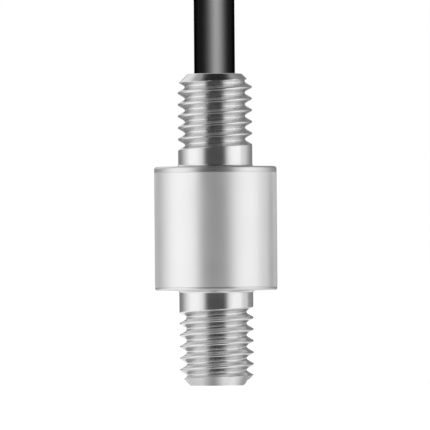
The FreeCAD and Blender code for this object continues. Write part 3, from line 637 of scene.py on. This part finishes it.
def dress_nodes(jacket):
    """The solids that are shown as they are."""
    looks = {
        "black_jacket": jacket,
        "black_potting": plastic("black_potting", grey(0.012), roughness=0.3, fleck=0.4, pebble=0.1),
        "gauge_film": plastic("gauge_film", (0.62, 0.36, 0.08, 1), roughness=0.35, fleck=0.2),
        "ring_board": plastic("ring_board", (0.04, 0.22, 0.1, 1), roughness=0.4, fleck=0.3),
        "chip_ceramic": plastic("chip_ceramic", (0.05, 0.05, 0.06, 1), roughness=0.3, fleck=0.4),
        "enamelled_copper": metal(
            "enamelled_copper", (0.6, 0.26, 0.1, 1), roughness=(0.25, 0.35), marks=0.02
        ),
        "tinned_copper": metal("tinned_copper", (0.78, 0.76, 0.72, 1), roughness=(0.3, 0.42), marks=0.05),
        "solder": metal("solder", (0.78, 0.78, 0.76, 1), roughness=(0.2, 0.35), marks=0.05),
        "red_insulation": insulation("red_insulation", (0.6, 0.03, 0.03, 1)),
        "black_insulation": insulation("black_insulation", grey(0.02)),
        "green_insulation": insulation("green_insulation", (0.03, 0.3, 0.08, 1)),
        "white_insulation": insulation("white_insulation", (0.8, 0.8, 0.78, 1), fleck=0.05),
        "clear_sleeving": plastic(
            "clear_sleeving", (0.6, 0.6, 0.57, 1), roughness=0.35, fleck=0.1, pebble=0.05
        ),
        "shrink_sleeve": plastic("shrink_sleeve", grey(0.025), roughness=0.55, fleck=0.3, pebble=0.25),
        "nylon_tie": plastic("nylon_tie", grey(0.015), roughness=0.5, fleck=0.3, pebble=0.2),
    }
    slots = {part["node"]: part["material_slot"] for part in frame["record"]["subparts"]}
    for name, node in frame["nodes"].items():
        if slots[name] in looks:
            dress(node, looks[slots[name]])


def seen_by(tree):
    """1 for rays that show a surface directly, in a mirror or through glass, and 0 for its light."""
    path = tree.nodes.new("ShaderNodeLightPath")
    seen = path.outputs["Is Camera Ray"]
    for ray in ("Is Glossy Ray", "Is Transmission Ray"):
        seen = maths(tree, "MAXIMUM", seen, path.outputs[ray])
    return seen


def make_world():
    """White where it shows, and a plain soft light where it only lights."""
    world = bpy.data.worlds.new("studio")
    bpy.context.scene.world = world
    world.use_nodes = True
    tree = world.node_tree
    tree.nodes.clear()
    shown = set_up(tree.nodes.new("ShaderNodeBackground"), Color=grey(1.0), Strength=1.0)
    light = set_up(tree.nodes.new("ShaderNodeBackground"), Color=grey(1.0), Strength=WORLD_LIGHT)
    mix = tree.nodes.new("ShaderNodeMixShader")
    out = tree.nodes.new("ShaderNodeOutputWorld")
    tree.links.new(seen_by(tree), mix.inputs["Fac"])
    tree.links.new(light.outputs["Background"], mix.inputs[1])
    tree.links.new(shown.outputs["Background"], mix.inputs[2])
    tree.links.new(mix.outputs["Shader"], out.inputs["Surface"])


def make_floor():
    """A pale floor: its own white where it shows, and the object's soft shadow on it."""
    mesh = bpy.data.meshes.new("floor")
    half = FLOOR_SIZE / 2
    corners = [(-half, -half, FLOOR_Z), (half, -half, FLOOR_Z), (half, half, FLOOR_Z), (-half, half, FLOOR_Z)]
    mesh.from_pydata(corners, [], [(0, 1, 2, 3)])
    floor = link("floor", mesh)
    material, tree, main = new_material("floor")
    set_up(main, Base_Color=grey(FLOOR_GREY), Roughness=FLOOR_ROUGHNESS, Specular_IOR_Level=0.0)
    set_up(main, Emission_Color=grey(1.0))
    lift = maths(tree, "MULTIPLY", seen_by(tree), FLOOR_LIFT)
    tree.links.new(lift, main.inputs["Emission Strength"])
    dress(floor, material)


def hood_shade(azimuth, elevation):
    """How dark the hood is in a direction: open at both sides, behind, and at a small window on the left."""
    back, top = (BACK_LEFT, TOP_LEFT) if azimuth < 0 else (BACK_RIGHT, TOP_RIGHT)
    turn = abs(azimuth)
    opening = ramp(turn, *BACK_OPEN) * (1 - ramp(elevation, *BACK_HEIGHT))
    dark_behind = BACK_SHADE * ramp(turn, *back) * (1 - opening)
    dark_front = 1 - ramp(abs(azimuth - FRONT_AT), *FRONT_EDGE)
    shade = max(dark_front, dark_behind, ramp(elevation, *top))
    aside = (azimuth - WINDOW_AT[0]) * math.cos(math.radians(elevation))
    above = elevation - WINDOW_AT[1]
    along = (aside + above) / math.sqrt(2)
    along -= min(max(along, 0), WINDOW_LENGTH)
    across = (above - aside) / math.sqrt(2)
    return shade * ramp(math.hypot(along, across), *WINDOW_EDGE)


def foot_shade(azimuth):
    """The painted shade right at the foot, which stands for the floor's shadow there, smooth from stop to
    stop.
    """
    for (start, low), (end, high) in zip(PAINTED_FOOT_SHADE_STOPS, PAINTED_FOOT_SHADE_STOPS[1:]):
        if azimuth <= end:
            return blend(low, high, ramp(azimuth, start, end))


def mat_shade(azimuth, radius):
    """How dark the floor looks in reflections: as the hood away from the object, paler in a patch in front of
    its foot, with painted shade at the foot itself.
    """
    patch = blend(PATCH_SHADE, PATCH_SIDES[azimuth > 0], ramp(abs(azimuth), *PATCH_FRONT))
    near = blend(foot_shade(azimuth), patch, ramp(radius, *PATCH_EDGE))
    return blend(near, hood_shade(azimuth, 0), ramp(radius, *MAT_EDGE))


def flag_azimuth(column):
    """Degrees from the camera's side, left below 0."""
    return 360 * column / FLAG_COLUMNS - 180


def make_flag(name, rings):
    """Dark cloth on rings round the object, seen only in reflections: radius, height, grey and shades."""
    mesh = bpy.data.meshes.new(name)
    verts, shades, greys, faces = [], [], [], []
    for radius, height, level, ring_shades in rings:
        greys += [level] * FLAG_COLUMNS
        for column, shade in enumerate(ring_shades):
            turn = math.radians(flag_azimuth(column))
            verts.append((radius * math.sin(turn), -radius * math.cos(turn), height))
            shades.append(shade)
    for row in range(len(rings) - 1):
        for column in range(FLAG_COLUMNS):
            here = row * FLAG_COLUMNS + column
            after = row * FLAG_COLUMNS + (column + 1) % FLAG_COLUMNS
            faces.append((here, after, after + FLAG_COLUMNS, here + FLAG_COLUMNS))
    mesh.from_pydata(verts, [], faces)
    for attribute, values in (("shade", shades), ("level", greys)):
        mesh.attributes.new(attribute, "FLOAT", "POINT").data.foreach_set("value", values)
    flag = link(name, mesh)
    material, tree, main = new_material(name)
    set_up(main, Base_Color=grey(0.0), Roughness=1.0, Specular_IOR_Level=0.0, Emission_Color=grey(1.0))
    for attribute, socket in (("shade", "Alpha"), ("level", "Emission Strength")):
        read = tree.nodes.new("ShaderNodeAttribute")
        read.attribute_name = attribute
        tree.links.new(read.outputs["Fac"], main.inputs[socket])
    dress(flag, material)
    flag.visible_camera = False
    flag.visible_diffuse = False
    flag.visible_shadow = False


def make_hood():
    """The dark hood over the set, which gives the metal its dark bands."""
    rings = []
    for row in range(HOOD_ROWS + 1):
        elevation = 90 * row / HOOD_ROWS
        shades = [hood_shade(flag_azimuth(column), elevation) for column in range(FLAG_COLUMNS)]
        rise = math.radians(elevation)
        level = blend(FLAG_GREY, TOP_GREY, ramp(elevation, *TOP_DARK))
        rings.append((HOOD_RADIUS * math.cos(rise), FLOOR_Z + HOOD_RADIUS * math.sin(rise), level, shades))
    make_flag("hood", rings)


def make_mat():
    """The hood's dark cloth carried on over the floor, with painted shade round the foot and rings that lie
    closer towards the foot.
    """
    rings = []
    for row in range(MAT_ROWS + 1):
        radius = MAT_HOLE * (HOOD_RADIUS / MAT_HOLE) ** (row / MAT_ROWS)
        shades = [mat_shade(flag_azimuth(column), radius) for column in range(FLAG_COLUMNS)]
        rings.append((radius, FLOOR_Z + MAT_LIFT, FLAG_GREY, shades))
    make_flag("mat", rings)


def make_softbox(name, place, aim, size, radiance):
    """A rectangular lamp that shines at a point, as bright as its radiance says."""
    data = bpy.data.lights.new(name, "AREA")
    data.shape = "RECTANGLE"
    data.size, data.size_y = size
    data.energy = radiance * math.pi * size[0] * size[1]
    lamp = link(name, data)
    lamp.location = place
    lamp.rotation_euler = (Vector(aim) - Vector(place)).to_track_quat("-Z", "Y").to_euler()
    return lamp


def light_only(lamp, piece):
    """Limit a lamp to one piece."""
    group = bpy.data.collections.new(f"{lamp.name}_receivers")
    group.objects.link(piece)
    lamp.light_linking.receiver_collection = group
    lamp.light_linking.blocker_collection = group


def lamp_place(angle, height):
    """A place on the lamps' circle, in degrees from the camera's side, left below 0."""
    turn = math.radians(angle)
    return (LAMP_DISTANCE * math.sin(turn), -LAMP_DISTANCE * math.cos(turn), height)


def strip_size(reach):
    """The size of a strip that reaches so many degrees to each side, as seen from the load axis."""
    return (2 * LAMP_DISTANCE * math.tan(math.radians(reach)), STRIP_HEIGHT)


def make_lamps(cable, sleeve):
    """Soft light from both sides, strips for the cable's gloss, and lamps for the sleeve's edges."""
    middle = (0, 0, (FOOT + MOUTH) / 2)
    for name, place in SOFTBOX_PLACES.items():
        make_softbox(name, place, middle, SOFTBOX_SIZE, SOFTBOX_LIGHT)
    place = lamp_place(STRIP_AT, STRIP_Z)
    for reach in STRIP_REACHES:
        strip = make_softbox("cable_strip", place, (0, 0, MOUTH), strip_size(reach), STRIP_LIGHT)
        light_only(strip, cable)
    aim = (REAR_AIM_X, 0, MOUTH)
    for angle in REAR_ANGLES:
        strip = make_softbox("cable_back", lamp_place(angle, REAR_Z), aim, strip_size(REAR_REACH), REAR_LIGHT)
        light_only(strip, cable)
    for side, rim_light in zip((-1, 1), RIM_LIGHT):
        for name, away, radiance in (("edge_lamp", EDGE_AT, EDGE_LIGHT), ("rim_lamp", RIM_AT, rim_light)):
            place = lamp_place(EDGE_MIDDLE + away * side, middle[2])
            light_only(make_softbox(name, place, middle, EDGE_SIZE, radiance), sleeve)


make_camera()
cable = make_cable()
element = make_element()
sleeve = make_sleeve()

jacket = plastic("black_jacket", grey(0.0006), roughness=0.34, fleck=0.3, pebble=0.08, gloss_fade=9)
dress_nodes(jacket)
dress(cable, jacket)
dress_element(element)
dress(sleeve, metal("satin_steel", grey(0.8), roughness=(0.3, 0.36), marks=0.1, metallic=0.7))

make_world()
make_floor()
make_hood()
make_mat()
make_lamps(cable, sleeve)
bpy.context.scene.view_settings.view_transform = "Standard"

bpy.context.view_layer.update()
